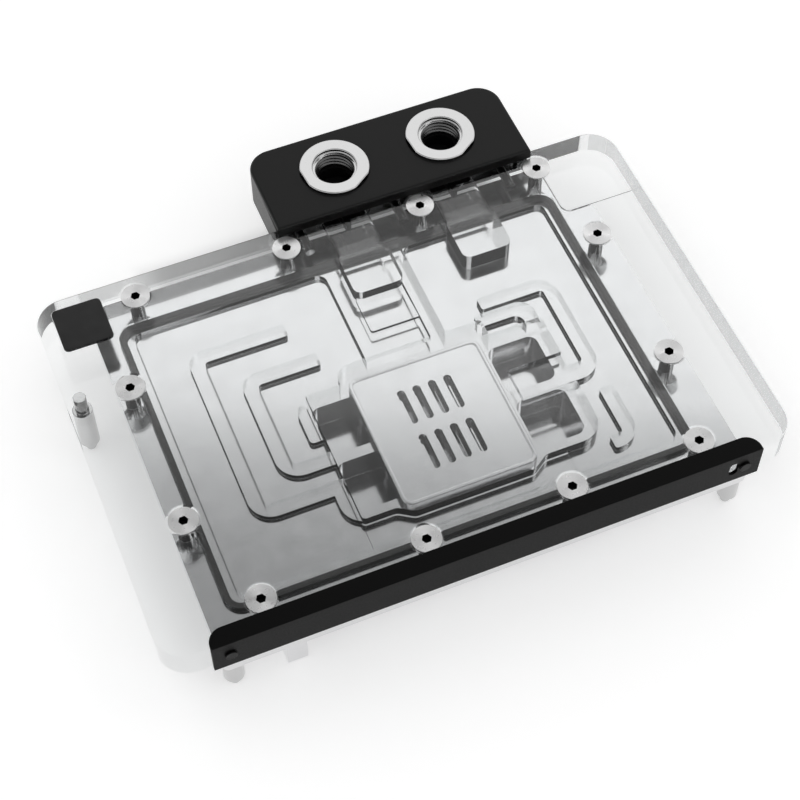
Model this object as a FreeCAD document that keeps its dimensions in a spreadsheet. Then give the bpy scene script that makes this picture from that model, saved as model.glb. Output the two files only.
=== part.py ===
import FreeCAD, Part
import Sketcher
import math
import os
import re

# Liquid cooling block for a graphics card: a clear cover with milled flow recesses, screwed on a
# plated copper cold plate, with a two-port terminal block at the back.
# Sizes are in millimetres. Every piece is drawn from one datum: the cover's front left corner,
# X right, Y back, Z up from the cover's top face. The finished pieces are then moved so that the
# origin is the middle of the contact face that sits on the graphics chip.

doc = FreeCAD.newDocument("WaterBlock")
sheet = doc.addObject("Spreadsheet::Sheet", "Sizes")

SIZES = {
    # clear cover
    "cover_length": 186, "cover_depth": 123.5, "cover_thickness": 10, "cover_corner": 9,
    # cold plate under the cover, with a notch at its back right corner
    "plate_left": 15.2, "plate_length": 157.4, "plate_setback": 1.1, "plate_thickness": 6,
    "plate_corner": 2, "notch_length": 9.7, "notch_depth": 19.8, "notch_corner": 3,
    # groove round the flow area, which holds the main seal against its outer wall
    "seal_left": 21.4, "seal_front": 11.1, "seal_length": 140.1, "seal_back_margin": 11.6,
    "seal_corner": 5.3, "groove_width": 4.2, "groove_corner": 2.6, "recess_depth": 2,
    "cord_flat": 0.22,
    # flow channels left of the jet plate, by their outer walls
    "channel_width": 4.4, "end_corner": 0.8, "bend_back": 5, "bend_front": 7, "bend_inside": 1.2,
    "outer_left": 37.4, "outer_front": 34.3, "outer_back": 94.8, "outer_end": 67.7,
    "middle_left": 49, "middle_front": 43.8, "middle_back": 81.5, "middle_end": 72.9,
    "inner_left": 60.5, "inner_front": 52.6, "inner_back": 67.2,
    # flow channels right of the jet plate
    "right_outer": 147.9, "right_back": 81.6, "right_end": 124, "right_front": 43.8,
    "right_inner": 138.3, "right_run": 5.7, "loop_end": 120.6, "loop_back": 76,
    "loop_corner": 3, "tail_left": 139.3, "tail_front": 18.6, "tail_back": 38.6,
    # deep chamber that holds the jet plate
    "chamber_depth": 4.2, "chamber_front": 20.3, "chamber_left": 64.5, "chamber_back": 73,
    "chamber_wall_left": 75, "chamber_wall_right": 121.5, "shoulder_front": 23.3,
    "shoulder_left": 74.5, "shoulder_right": 119.5, "shoulder_slope": 4.5,
    "shoulder_corner": 3, "divider_thickness": 1, "wing_front": 53.5,
    # how far a cut runs on into the one it joins
    "join": 1,
    # shallow reliefs in the cover's underside
    "relief_depth": 0.4, "relief_length": 62, "relief_front": 14.5,
    # back bay with its deeper lane, and the pockets under the two ducts
    "bay_left": 85.5, "bay_length": 24.7, "bay_corner": 3, "lane_width": 4.6,
    "pocket_length": 15.6, "pocket_width": 15.7, "pocket_inset": 2.5, "pocket_depth": 7.2,
    "pocket_corner": 2.5, "duct_offset": 2.4, "step_length": 12.1, "step_depth": 1.2,
    "duct_height": 3.2, "duct_corner": 1, "duct_narrowing": 0.6,
    "tongue_root": 2.8, "tongue_tip": 1.6, "tongue_hold": 6, "tongue_reach": 4.2,
    # terminal block and its two ports
    "terminal_left": 76.4, "terminal_length": 82.9, "terminal_depth": 28.3, "terminal_rise": 3.6,
    "terminal_drop": 10, "terminal_lip": 2.6, "terminal_corner": 7.5, "terminal_edge": 0.8,
    "port_left": 100.7, "port_spacing": 35, "port_back": 13.4, "port_ring": 21.4, "ring_flat": 10.2,
    "flat_first": 55, "flat_second": 175,
    "port_rise": 1.1, "port_mouth": 13.6, "port_mouth_depth": 1.4, "port_bore": 11.8,
    "port_well": 10,
    "port_sleeve": 17, "sleeve_depth": 5.4, "flange_depth": 0.9, "duct_seal_cord": 1.3,
    "duct_seal_gap": 0.2,
    # countersunk screws through the cover
    "screw_shank": 4, "screw_clearance": 0.3, "screw_head": 8.5, "screw_socket": 2.5,
    "socket_depth": 2.2, "screw_length": 14, "head_recess": 0.1, "head_rim": 0.3,
    "hole_spare": 1, "row_front": 8.8, "row_inset": 7.1, "row_lower": 39, "row_upper": 86,
    "column_first": 30, "column_second": 77.2, "column_third": 120.4, "column_last": 159.3,
    "side_left": 18.7, "side_right": 165.4,
    # socket screws that clamp the terminal block on the cover
    "clamp_first": 83.9, "clamp_second": 114.7, "clamp_third": 150.3, "clamp_shank": 3,
    "clamp_reach": 8, "clamp_head": 5.5, "clamp_head_length": 3, "clamp_drop": 4.4,
    "clamp_well": 4, "clamp_socket": 2.5, "clamp_socket_depth": 1.5,
    # jet plate with a raised rim and two rows of slots
    "jet_left": 77.1, "jet_front": 23.2, "jet_length": 40.9, "jet_depth": 45.1, "jet_height": 3,
    "jet_corner": 3, "jet_rim": 1.2, "jet_lip": 0.4, "slot_width": 2.4, "slot_length": 12,
    "slot_pitch": 4.8, "slot_row": 16, "slot_count": 4, "slot_flat": 0.01,
    # fins under the jet plate
    "fin_thickness": 0.6, "fin_gap": 0.9, "fin_gaps": 20, "fin_height": 3.4, "fin_length": 34,
    # deep pockets in the cold plate over the memory chips
    "memory_drop": 9.3, "memory_left": 64.5, "memory_right": 135.1, "memory_length": 15.5,
    "memory_front": 28.3, "memory_pitch": 19.9, "memory_width": 16.6, "memory_corner": 2.8,
    # contact pads on the underside
    "die_left": 97.5, "die_front": 45.7, "die_length": 38, "die_depth": 34, "die_drop": 7.5,
    "pad_wall": 3, "pad_floor": 2.4, "pad_sink": 0.5, "rib_left": 33, "rib_width": 6,
    "rib_depth": 96, "rib_front": 18, "rib_clearance": 6.5, "rib_gap": 4, "rib_drop": 8.5,
    "pad_corner": 1.5,
    # standoffs and their threaded ends
    "standoff_drop": 9.5, "standoff_size": 6, "stud_size": 3, "stud_length": 3.6,
    "stud_reach": 4, "tap_size": 4, "rim_stud_size": 3.8, "rim_stud_reach": 7.5, "rim_left": 4.5,
    "rim_row": 89.5, "corner_inset": 3.4, "back_left": 56, "back_left_inset": 10.4,
    "back_right_end": 22.6, "back_right_inset": 25.4,
    "die_pitch_long": 82, "die_pitch_short": 64,
    # folded trim strip along the cover's front edge
    "trim_left": 12.8, "trim_length": 161.3, "trim_reach": 4.6, "trim_sheet": 1,
    "trim_drop": 11, "trim_corner": 4.5, "trim_slot_place": 151.5, "trim_slot_width": 2.8,
    "trim_slot_height": 5.5, "trim_slot_drop": 2.2, "trim_screw_inset": 5,
    "trim_screw_shank": 2, "trim_screw_head": 3.4, "trim_screw_length": 6,
    "trim_screw_drop": 5, "trim_head_length": 0.7,
    # light strip in a groove behind the trim
    "light_height": 4, "light_thickness": 1.2, "light_inset": 12, "light_drop": 3,
    # badge tile in a shallow seat
    "badge_left": 5.2, "badge_margin": 3.8, "badge_length": 14.8, "badge_depth": 15.2,
    "badge_corner": 1.5, "badge_thickness": 1, "badge_seat": 0.5,
}

for row, (alias, number) in enumerate(SIZES.items(), start=1):
    sheet.set("A%d" % row, alias.replace("_", " "))
    sheet.set("B%d" % row, str(number))
    sheet.setAlias("B%d" % row, alias)
doc.recompute()


def bound(rule):
    """A rule in plain size names, written the way an expression names the sheet's cells."""
    return re.sub(r"[a-z]+(?:_[a-z]+)*(?!\()", lambda word: "Sizes." + word.group(0), str(rule))


def number(rule):
    """The present value of a rule."""
    return float(sheet.evalExpression(bound(rule)))


def plane(body, role):
    return next(item for item in body.Origin.OriginFeatures if item.Role == role)


def new_body(name):
    body = doc.addObject("PartDesign::Body", name)
    body.Label = name
    return body


def new_sketch(body, name, role="XY_Plane", height="0"):
    """An empty sketch on one of the body's own planes, moved along that plane's normal."""
    sketch = body.newObject("Sketcher::SketchObject", name)
    sketch.AttachmentSupport = [(plane(body, role), "")]
    sketch.MapMode = "FlatFace"
    sketch.setExpression("AttachmentOffset.Base.z", bound(height))
    return sketch


def bind(sketch, limits):
    """Adds driving constraints, and binds each one's value to its rule."""
    first = sketch.ConstraintCount
    sketch.addConstraint([limit for limit, rule in limits])
    for index, (limit, rule) in enumerate(limits, start=first):
        if rule is not None:
            sketch.setExpression("Constraints[%d]" % index, bound(rule))


def outline(sketch, corners):
    """Draws a closed outline from its corners (x rule, y rule, radius rule or None)."""
    points = [FreeCAD.Vector(number(x), number(y), 0) for x, y, radius in corners]
    count = len(points)
    begins, ends, arcs = [], [], []
    for i, (x, y, radius) in enumerate(corners):
        here = points[i]
        back = (points[i - 1] - here).normalize()
        ahead = (points[(i + 1) % count] - here).normalize()
        size = number(radius) if radius else 0
        half = back.getAngle(ahead) / 2
        step = size / math.tan(half) if size else 0
        ends.append(here + back * step)
        begins.append(here + ahead * step)
        if size:
            middle = here + (back + ahead).normalize() * (size / math.sin(half))
            arcs.append((middle, size, back.cross(ahead).z < 0))
        else:
            arcs.append(None)
    lines = []
    for i in range(count):
        lines.append(sketch.addGeometry(Part.LineSegment(begins[i], ends[(i + 1) % count])))
    limits = []
    for i, (x, y, radius) in enumerate(corners):
        before, after = lines[i - 1], lines[i]
        if arcs[i] is None:
            held, end = after, 1
            limits.append((Sketcher.Constraint("Coincident", before, 2, after, 1), None))
        else:
            middle, size, turns_left = arcs[i]
            first, last = (ends[i], begins[i]) if turns_left else (begins[i], ends[i])
            angles = [math.atan2(p.y - middle.y, p.x - middle.x) for p in (first, last)]
            circle = Part.Circle(middle, FreeCAD.Vector(0, 0, 1), size)
            arc = sketch.addGeometry(Part.ArcOfCircle(circle, angles[0], angles[1]))
            held = sketch.addGeometry(Part.Point(points[i]), True)
            end = 1
            meets, leaves = (1, 2) if turns_left else (2, 1)
            limits.append((Sketcher.Constraint("Tangent", before, 2, arc, meets), None))
            limits.append((Sketcher.Constraint("Tangent", after, 1, arc, leaves), None))
            limits.append((Sketcher.Constraint("PointOnObject", held, 1, before), None))
            limits.append((Sketcher.Constraint("PointOnObject", held, 1, after), None))
            limits.append((Sketcher.Constraint("Radius", arc, size), radius))
        limits.append((Sketcher.Constraint("DistanceX", -1, 1, held, end, points[i].x), x))
        limits.append((Sketcher.Constraint("DistanceY", -1, 1, held, end, points[i].y), y))
    bind(sketch, limits)


def box_corners(left, front, length, depth, radius=None):
    """The four corners of a rectangle, with one radius for all."""
    right, back = "%s + %s" % (left, length), "%s + %s" % (front, depth)
    return [(left, front, radius), (right, front, radius), (right, back, radius),
            (left, back, radius)]


def circles(sketch, places, diameter):
    """Draws equal circles at places given as (x rule, y rule)."""
    limits = []
    for x, y in places:
        middle = FreeCAD.Vector(number(x), number(y), 0)
        ring = sketch.addGeometry(Part.Circle(middle, FreeCAD.Vector(0, 0, 1),
                                              number(diameter) / 2))
        limits.append((Sketcher.Constraint("DistanceX", -1, 1, ring, 3, middle.x), x))
        limits.append((Sketcher.Constraint("DistanceY", -1, 1, ring, 3, middle.y), y))
        limits.append((Sketcher.Constraint("Diameter", ring, number(diameter)), diameter))
    bind(sketch, limits)


def pad(body, sketch, length, downwards=True):
    feature = body.newObject("PartDesign::Pad", sketch.Name + "_pad")
    feature.Profile = sketch
    feature.setExpression("Length", bound(length))
    feature.Reversed = downwards
    doc.recompute()
    return feature


def pocket(body, sketch, length, upwards=False):
    """Cuts a sketch into the body, and stops if nothing was cut away."""
    before = body.Shape.Volume
    feature = body.newObject("PartDesign::Pocket", sketch.Name + "_cut")
    feature.Profile = sketch
    feature.setExpression("Length", bound(length))
    feature.Reversed = upwards
    doc.recompute()
    if not body.Shape.Volume < before:
        raise RuntimeError("cut %s removes nothing" % sketch.Name)
    return feature


def cut_outline(body, name, corners, height, length, upwards=True, role="XY_Plane"):
    sketch = new_sketch(body, name, role, height)
    outline(sketch, corners)
    return pocket(body, sketch, length, upwards)


def add_outline(body, name, corners, height, length, downwards=True, role="XY_Plane"):
    sketch = new_sketch(body, name, role, height)
    outline(sketch, corners)
    return pad(body, sketch, length, downwards)


def cut_circles(body, name, places, diameter, height, length, upwards=False,
                role="XY_Plane"):
    sketch = new_sketch(body, name, role, height)
    circles(sketch, places, diameter)
    return pocket(body, sketch, length, upwards)


def turned(name, profile):
    """A body turned about Z from a profile of (radius rule, height rule) corners."""
    body = new_body(name)
    sketch = new_sketch(body, name + "_profile", "XZ_Plane")
    outline(sketch, [(radius, height, None) for radius, height in profile])
    turn = body.newObject("PartDesign::Revolution", name + "_turn")
    turn.Profile = sketch
    turn.ReferenceAxis = (plane(body, "Z_Axis"), [""])
    turn.Angle = 360
    doc.recompute()
    return body


def group(name, shape, places):
    """Separate copies of one solid in one piece, at places worked out from the sheet."""
    piece = doc.addObject("Part::Feature", name)
    piece.Label = name
    copies = []
    for place in places:
        copy = shape.copy()
        copy.translate(FreeCAD.Vector(*[number(rule) for rule in place]))
        copies.append(copy)
    piece.Shape = Part.makeCompound(copies)
    return piece


def ring(name, path_role, path_height, corners, cord_role, cord_height, place, cord):
    """A closed cord, pressed flat on its four sides, that follows a rounded outline."""
    body = new_body(name)
    path = new_sketch(body, name + "_path", path_role, path_height)
    outline(path, corners)
    section = new_sketch(body, name + "_section", cord_role, cord_height)
    x, y = place
    half, flat = "%s / 2" % cord, "%s * cord_flat" % cord
    outline(section, [("%s %s %s" % (x, a, across), "%s %s %s" % (y, b, up), None)
                      for a, across, b, up in (
                          ("-", half, "-", flat), ("-", half, "+", flat),
                          ("-", flat, "+", half), ("+", flat, "+", half),
                          ("+", half, "+", flat), ("+", half, "-", flat),
                          ("+", flat, "-", half), ("-", flat, "-", half))])
    pipe = body.newObject("PartDesign::AdditivePipe", name + "_pipe")
    pipe.Profile = section
    pipe.Spine = path
    doc.recompute()
    return body


def row_of(body, feature, axis, pitch, count):
    """Repeats a cut along one of the body's axes."""
    pattern = body.newObject("PartDesign::LinearPattern", feature.Name + "_row")
    pattern.Originals = [feature]
    pattern.Direction = (plane(body, axis), [""])
    pattern.Mode = "Spacing"
    pattern.setExpression("Offset", bound(pitch))
    pattern.setExpression("Occurrences", bound(count))
    doc.recompute()
    body.Tip = pattern
    doc.recompute()
    return pattern


def hexagon(body, name, x, y, across, height, depth):
    """Cuts a hexagon socket, with its flats across X, down from a height."""
    sides = []
    for turn in range(6):
        angle = math.radians(60 * turn)
        sides.append(("%s + %.9f * %s" % (x, math.cos(angle) / math.sqrt(3), across),
                      "%s + %.9f * %s" % (y, math.sin(angle) / math.sqrt(3), across), None))
    return cut_outline(body, name, sides, height, depth, upwards=False)


UNDERSIDE = "-cover_thickness"
PLATE_BOTTOM = "-cover_thickness - plate_thickness"
PLATE_RIGHT = "plate_left + plate_length"
PLATE_BACK = "cover_depth - plate_setback"
SEAL_BACK = "cover_depth - seal_back_margin"
SEAL_DEPTH = "cover_depth - seal_back_margin - seal_front"
ROW_BACK = "cover_depth - row_inset"
SCREWS = [(column, line) for line in ("row_front", ROW_BACK)
          for column in ("column_first", "column_second", "column_third", "column_last")]
SCREWS += [(side, line) for side in ("side_left", "side_right")
           for line in ("row_lower", "row_upper")]
CLAMPS = ["clamp_first", "clamp_second", "clamp_third"]
PORTS = {"left": "port_left", "right": "port_left + port_spacing"}
PORT_ROW = "cover_depth + port_back"
DUCT_FLOOR = "-cover_thickness + pocket_depth - duct_height"
POCKET_BACK = SEAL_BACK + " - pocket_inset"
POCKET_FRONT = POCKET_BACK + " - pocket_width"
BADGE_FRONT = "cover_depth - badge_margin - badge_depth"


def duct_side(port):
    """The left wall of the pocket under a port."""
    return "%s - duct_offset - pocket_length / 2" % port


def duct_outline(port, spare="0", radius="duct_corner"):
    """The duct's section, on a plane across Y."""
    return box_corners("%s + duct_narrowing - %s" % (duct_side(port), spare),
                       "%s - %s" % (DUCT_FLOOR, spare),
                       "pocket_length - 2 * duct_narrowing + 2 * %s" % spare,
                       "duct_height + 2 * %s" % spare, radius)


# ---------------------------------------------------------------- clear cover
# A slab of clear acrylic with rounded corners. All of its recesses are milled from the underside.
cover = new_body("cover_plate")
add_outline(cover, "cover_edge",
            box_corners("0", "0", "cover_length", "cover_depth", "cover_corner"),
            "0", "cover_thickness")

# The seal groove is a closed ring between two rounded outlines.
groove = new_sketch(cover, "seal_groove", height=UNDERSIDE)
outline(groove, box_corners("seal_left", "seal_front", "seal_length", SEAL_DEPTH, "seal_corner"))
outline(groove, box_corners("seal_left + groove_width", "seal_front + groove_width",
                            "seal_length - 2 * groove_width", SEAL_DEPTH + " - 2 * groove_width",
                            "groove_corner"))
pocket(cover, groove, "recess_depth", upwards=True)


def left_channel(name, left, front, back, end, joins):
    """A hook shaped channel: a back run, a left run and a front run into the chamber."""
    return cut_outline(cover, name, [
        (end, back, "end_corner"), (left, back, "bend_back"), (left, front, "bend_front"),
        (joins, front, None), (joins, front + " + channel_width", None),
        (left + " + channel_width", front + " + channel_width", "bend_inside"),
        (left + " + channel_width", back + " - channel_width", "bend_inside"),
        (end, back + " - channel_width", "end_corner")], UNDERSIDE, "recess_depth")


left_channel("outer_channel", "outer_left", "outer_front", "outer_back", "outer_end",
             "chamber_left + join")
left_channel("middle_channel", "middle_left", "middle_front", "middle_back", "middle_end",
             "chamber_left + join")
cut_outline(cover, "inner_channel", [
    ("inner_left", "inner_back", "bend_back"), ("inner_left", "inner_front", "bend_inside"),
    ("chamber_left + 2 * join", "inner_front", None),
    ("chamber_left + 2 * join", "inner_back", None)],
    UNDERSIDE, "recess_depth")
# The outer channel's front run swings forward into the chamber's front left corner.
cut_outline(cover, "front_bend", [
    ("inner_left", "outer_front + channel_width / 2", None),
    ("inner_left", "shoulder_front", "bend_front"),
    ("chamber_left + 4 * join", "shoulder_front", None),
    ("chamber_left + 4 * join", "outer_front + channel_width / 2", None)],
    UNDERSIDE, "recess_depth")

# Right of the jet plate: a long loop, a short loop behind the wing, and a separate tail.
cut_outline(cover, "right_loop", [
    ("right_end", "right_back", "end_corner"), ("right_outer", "right_back", "bend_front"),
    ("right_outer", "right_front", "bend_front"),
    ("chamber_wall_right - join", "right_front", None),
    ("chamber_wall_right - join", "wing_front + join", None),
    ("right_inner", "wing_front + join", None),
    ("right_inner", "right_front + right_run", "bend_inside"),
    ("right_outer - channel_width", "right_front + right_run", "end_corner"),
    ("right_outer - channel_width", "right_back - channel_width", "bend_inside"),
    ("right_end", "right_back - channel_width", "end_corner")], UNDERSIDE, "recess_depth")
cut_outline(cover, "short_loop", [
    ("loop_end", "loop_back", "end_corner"), ("right_inner", "loop_back", "bend_back"),
    ("right_inner", "inner_back - join", None),
    ("right_inner - channel_width", "inner_back - join", None),
    ("right_inner - channel_width", "loop_back - channel_width", "loop_corner"),
    ("loop_end", "loop_back - channel_width", "end_corner")], UNDERSIDE, "recess_depth")
cut_outline(cover, "tail_channel", [
    ("right_outer", "tail_back", "end_corner"),
    ("right_outer - channel_width", "tail_back", "end_corner"),
    ("right_outer - channel_width", "tail_front + channel_width", "end_corner"),
    ("tail_left", "tail_front + channel_width", "end_corner"),
    ("tail_left", "tail_front", "end_corner"), ("right_outer", "tail_front", "bend_front")],
    UNDERSIDE, "recess_depth")

# The chamber follows the jet plate, with a wing on each side over the memory pockets.
cut_outline(cover, "chamber", [
    ("chamber_left", "shoulder_front", "bend_inside"),
    ("shoulder_left", "shoulder_front", "shoulder_corner"),
    ("shoulder_left + shoulder_slope", "chamber_front", "shoulder_corner"),
    ("shoulder_right - shoulder_slope", "chamber_front", "shoulder_corner"),
    ("shoulder_right", "shoulder_front", "shoulder_corner"),
    ("right_inner", "shoulder_front", "bend_front"),
    ("right_inner", "right_front - divider_thickness", "bend_inside"),
    ("chamber_wall_right", "right_front - divider_thickness", None),
    ("chamber_wall_right", "wing_front", None), ("right_inner", "wing_front", None),
    ("right_inner", "inner_back", "bend_inside"), ("chamber_wall_right", "inner_back", None),
    ("chamber_wall_right", "chamber_back", "bend_inside"),
    ("chamber_wall_left", "chamber_back", "bend_back"),
    ("chamber_wall_left", "inner_back", None), ("chamber_left", "inner_back", None)],
    UNDERSIDE, "chamber_depth")

# The bay behind the jet plate joins the groove to the chamber, with its back corners rounded
# into the groove. One lane in it is deeper.
bay_right = "bay_left + bay_length"
groove_inside = SEAL_BACK + " - groove_width"
bay_back = groove_inside + " + join"
cut_outline(cover, "back_bay", [
    ("bay_left", "chamber_back - join", None), (bay_right, "chamber_back - join", None),
    (bay_right, groove_inside, "bay_corner"),
    (bay_right + " + bay_corner + join", groove_inside, None),
    (bay_right + " + bay_corner + join", bay_back, None),
    ("bay_left - bay_corner - join", bay_back, None),
    ("bay_left - bay_corner - join", groove_inside, None),
    ("bay_left", groove_inside, "bay_corner")], UNDERSIDE, "recess_depth")
cut_outline(cover, "bay_lane", [
    (bay_right + " - lane_width", "chamber_back - join", None),
    (bay_right, "chamber_back - join", None), (bay_right, bay_back, None),
    (bay_right + " - lane_width", bay_back, None)], UNDERSIDE, "chamber_depth")
cut_outline(cover, "bay_step", box_corners(
    duct_side("port_left"), POCKET_FRONT + " - step_length", "pocket_length",
    "step_length + join", "end_corner"), UNDERSIDE, "recess_depth + step_depth")

# A pocket under each port, and a flat duct from it to the back face.
for side, port in PORTS.items():
    cut_outline(cover, side + "_pocket", box_corners(
        duct_side(port), POCKET_FRONT, "pocket_length", "pocket_width", "pocket_corner"),
        UNDERSIDE, "pocket_depth")
    cut_outline(cover, side + "_duct", duct_outline(port), "-cover_depth",
                "seal_back_margin + pocket_inset + pocket_corner", role="XZ_Plane")

# Two shallow reliefs: in front of the chamber, and over the notch in the cold plate.
cut_outline(cover, "front_relief", [
    ("chamber_left", "relief_front", None),
    ("chamber_left + relief_length", "relief_front", None),
    ("chamber_left + relief_length", "shoulder_front + join", None),
    ("chamber_left", "shoulder_front + join", None)], UNDERSIDE, "relief_depth")
cut_outline(cover, "notch_relief", [
    (PLATE_RIGHT + " - notch_length", PLATE_BACK + " - notch_depth", "notch_corner"),
    ("cover_length + join", PLATE_BACK + " - notch_depth", None),
    ("cover_length + join", "cover_depth + join", None),
    (PLATE_RIGHT + " - notch_length", "cover_depth + join", None)],
    UNDERSIDE, "relief_depth")

# Countersunk clearance holes for the cover screws.
places = new_sketch(cover, "screw_places")
circles(places, SCREWS, "screw_shank + screw_clearance")
doc.recompute()
holes = cover.newObject("PartDesign::Hole", "screw_holes")
holes.Profile = places
doc.recompute()
holes.ThreadType = "None"
holes.DepthType = "ThroughAll"
holes.HoleCutType = "Countersink"
holes.HoleCutCountersinkAngle = 90
holes.setExpression("Diameter", bound("screw_shank + screw_clearance"))
holes.setExpression("HoleCutDiameter", bound("screw_head + 2 * (head_recess + head_rim)"))
doc.recompute()

# Seats cut from outside: badge, light strip, terminal screws, trim screws and the rim standoff.
cut_outline(cover, "badge_recess", box_corners(
    "badge_left", BADGE_FRONT, "badge_length", "badge_depth", "badge_corner"),
    "0", "badge_seat", upwards=False)
light_corners = box_corners(
    "trim_left + light_inset", "-light_drop - light_height", "trim_length - 2 * light_inset",
    "light_height", None)
cut_outline(cover, "light_groove", light_corners, "0", "light_thickness", upwards=False,
            role="XZ_Plane")
cut_circles(cover, "clamp_holes", [(place, "-clamp_drop") for place in CLAMPS], "clamp_shank",
            "-cover_depth", "clamp_reach + hole_spare", upwards=True, role="XZ_Plane")
TRIM_SCREWS = ["trim_left + trim_screw_inset", "trim_left + trim_length - trim_screw_inset"]
cut_circles(cover, "trim_holes", [(place, "-trim_screw_drop") for place in TRIM_SCREWS],
            "trim_screw_shank", "0", "trim_screw_length - trim_sheet + hole_spare",
            role="XZ_Plane")
cut_circles(cover, "rim_hole", [("rim_left", "rim_row")], "rim_stud_size", UNDERSIDE,
            "rim_stud_reach", upwards=True)

# ---------------------------------------------------------------- cold plate
# Nickel plated copper. The top is lapped flat; pads on the underside meet the card's parts.
cold = new_body("cold_plate")
add_outline(cold, "plate_edge", [
    ("plate_left", "0", "plate_corner"), (PLATE_RIGHT, "0", "plate_corner"),
    (PLATE_RIGHT, PLATE_BACK + " - notch_depth", "plate_corner"),
    (PLATE_RIGHT + " - notch_length", PLATE_BACK + " - notch_depth", "notch_corner"),
    (PLATE_RIGHT + " - notch_length", PLATE_BACK, "plate_corner"),
    ("plate_left", PLATE_BACK, "plate_corner")], UNDERSIDE, "plate_thickness")

memory_pad = {"left": "memory_left", "right": "memory_right - memory_length"}
for side, left in memory_pad.items():
    add_outline(cold, side + "_memory_pad", box_corners(
        left + " - pad_wall", "memory_front - pad_wall", "memory_length + 2 * pad_wall",
        "memory_pitch + memory_width + 2 * pad_wall", "pad_corner"),
        PLATE_BOTTOM + " + pad_sink", "memory_drop + pad_floor - plate_thickness + pad_sink")
add_outline(cold, "die_boss", box_corners(
    "die_left - die_length / 2", "die_front - die_depth / 2", "die_length", "die_depth",
    "pad_corner"), PLATE_BOTTOM + " + pad_sink", "die_drop + pad_sink")
add_outline(cold, "left_rib", box_corners("rib_left", "0", "rib_width", "rib_depth", None),
            PLATE_BOTTOM + " + pad_sink", "rib_drop + pad_sink")
add_outline(cold, "right_rib", box_corners(
    "die_left + die_pitch_long / 2 + standoff_size / 2 + rib_clearance", "rib_front",
    "rib_width",
    PLATE_BACK + " - back_right_inset - standoff_size / 2 - rib_gap - rib_front",
    "pad_corner"), PLATE_BOTTOM + " + pad_sink", "rib_drop + pad_sink")

for side, left in memory_pad.items():
    for row, shift in (("front", "0"), ("back", "memory_pitch")):
        cut_outline(cold, "%s_%s_memory" % (side, row), box_corners(
            left, "memory_front + " + shift, "memory_length", "memory_width",
            "memory_corner"), UNDERSIDE, "memory_drop", upwards=False)

# Fins are left standing between narrow cuts over the chip.
fin_pitch = "(fin_thickness + fin_gap)"
fin_left = "die_left - (fin_gaps * %s - fin_thickness) / 2" % fin_pitch
first_gap = cut_outline(cold, "fin_cut", box_corners(
    fin_left, "die_front - fin_length / 2", "fin_gap", "fin_length", None),
    UNDERSIDE, "fin_height", upwards=False)
row_of(cold, first_gap, "X_Axis", fin_pitch, "fin_gaps")

cut_circles(cold, "screw_taps", SCREWS, "screw_shank", UNDERSIDE,
            "screw_length + head_recess - cover_thickness + hole_spare")

# ---------------------------------------------------------------- jet plate
jet = new_body("jet_plate")
jet_top = UNDERSIDE + " + jet_height"
add_outline(jet, "jet_edge", box_corners("jet_left", "jet_front", "jet_length", "jet_depth",
                                         "jet_corner"), jet_top, "jet_height")
cut_outline(jet, "jet_face", box_corners(
    "jet_left + jet_rim", "jet_front + jet_rim", "jet_length - 2 * jet_rim",
    "jet_depth - 2 * jet_rim", "jet_corner - jet_rim"), jet_top, "jet_lip", upwards=False)
for row, side in (("front", "-"), ("back", "+")):
    first_slot = cut_outline(jet, row + "_slot", box_corners(
        "die_left - (slot_count - 1) * slot_pitch / 2 - slot_width / 2",
        "die_front %s slot_row / 2 - slot_length / 2" % side, "slot_width", "slot_length",
        "slot_width / 2 - slot_flat"), jet_top, "jet_height + join", upwards=False)
    row_of(jet, first_slot, "X_Axis", "slot_pitch", "slot_count")

# ---------------------------------------------------------------- seals
# The main seal lies on the groove's outer wall, squeezed to the groove's depth.
ring("main_seal", "XY_Plane", UNDERSIDE + " + recess_depth / 2", box_corners(
    "seal_left + recess_depth / 2", "seal_front + recess_depth / 2",
    "seal_length - recess_depth", SEAL_DEPTH + " - recess_depth",
    "seal_corner - recess_depth / 2"),
    "XZ_Plane", "-(seal_front + %s) / 2" % SEAL_BACK,
    ("seal_left + recess_depth / 2", UNDERSIDE + " + recess_depth / 2"), "recess_depth")
for side, port in PORTS.items():
    spare = "(duct_seal_gap + duct_seal_cord / 2)"
    ring("duct_seal_" + side, "XZ_Plane", "-cover_depth - duct_seal_cord / 2",
         duct_outline(port, spare, "duct_corner + " + spare),
         "XY_Plane", DUCT_FLOOR + " + duct_height / 2",
         (duct_side(port) + " + duct_narrowing - " + spare,
          "cover_depth + duct_seal_cord / 2"), "duct_seal_cord")

# ---------------------------------------------------------------- terminal block
terminal = new_body("terminal_block")
terminal_right = "terminal_left + terminal_length"
terminal_back = "cover_depth + terminal_depth"
add_outline(terminal, "terminal_edge_line", [
    ("terminal_left", "cover_depth", None), (terminal_right, "cover_depth", None),
    (terminal_right, terminal_back, "terminal_corner"),
    ("terminal_left", terminal_back, "terminal_corner")],
    "terminal_rise", "terminal_rise + terminal_drop")
add_outline(terminal, "terminal_lip_line", box_corners(
    "terminal_left", "cover_depth - terminal_lip", "terminal_length", "terminal_lip + join"),
    "terminal_rise", "terminal_rise")
top_edges = ["Edge%d" % place for place, edge in enumerate(terminal.Shape.Edges, start=1)
             if edge.BoundBox.ZMin > number("terminal_rise - terminal_edge / 2")]
sharp_block = terminal.Tip
rounding = terminal.newObject("PartDesign::Fillet", "terminal_top_rounding")
rounding.Base = (sharp_block, top_edges)
rounding.setExpression("Radius", bound("terminal_edge"))
doc.recompute()
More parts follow.
